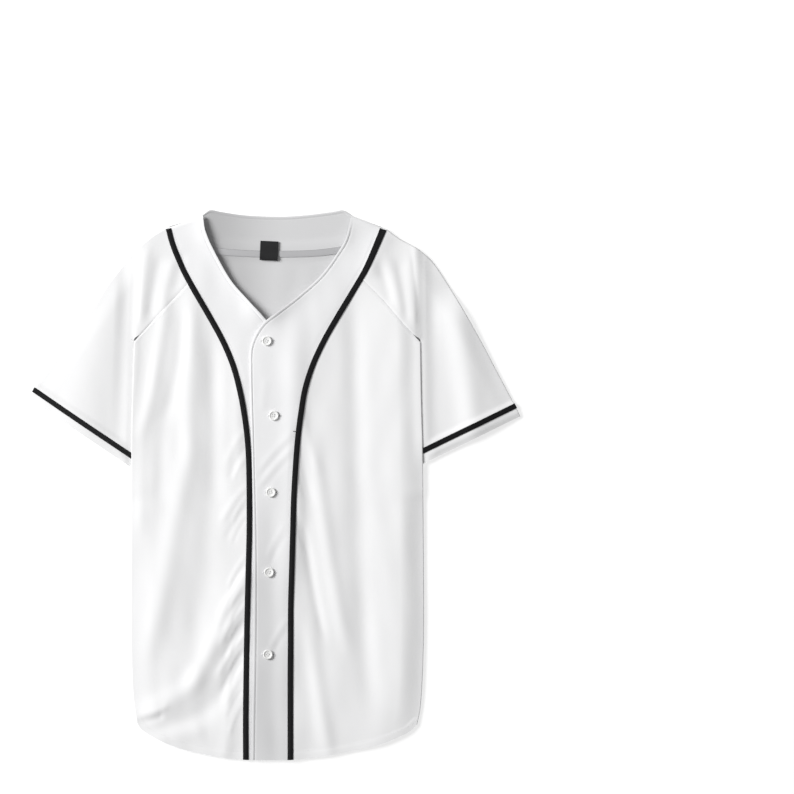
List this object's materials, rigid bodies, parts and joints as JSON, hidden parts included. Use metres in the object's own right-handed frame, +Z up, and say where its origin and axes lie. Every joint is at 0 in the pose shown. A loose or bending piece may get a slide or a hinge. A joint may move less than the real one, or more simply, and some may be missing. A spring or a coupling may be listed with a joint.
{
  "type": "baseball jersey",
  "caption": "White button-front baseball jersey with raglan sleeves and black braid, laid flat with its front up.",
  "frame": {"origin": "middle of the bounding box at the floor, under the jersey as it lies on its back", "axes": "+X to the viewer's right across the front, +Y from hem to neck, +Z up out of the front"},
  "size_m": [0.6786, 0.7592, 0.0138],
  "materials": {
    "white_knit": "white smooth polyester knit",
    "white_band": "white doubled knit of the bands",
    "black_braid": "black flat woven braid",
    "neck_tape": "off-white seam covering",
    "black_label": "black woven label, bare",
    "white_button": "white polyester button, satin gloss"
  },
  "bodies": {
    "root": {"back_panel": "white_knit", "front_panel_left": "white_knit", "front_panel_right": "white_knit", "sleeve_left": "white_knit", "sleeve_right": "white_knit", "front_band_left": "white_band", "front_band_right": "white_band", "neck_band_back": "white_band", "front_braid_left": "black_braid", "front_braid_right": "black_braid", "cuff_braid_left": "black_braid", "cuff_braid_right": "black_braid", "neck_braid_back": "black_braid", "neck_tape": "neck_tape", "label": "black_label", "button_1": "white_button", "button_2": "white_button", "button_3": "white_button", "button_4": "white_button", "button_5": "white_button"}
  },
  "joints": []
}
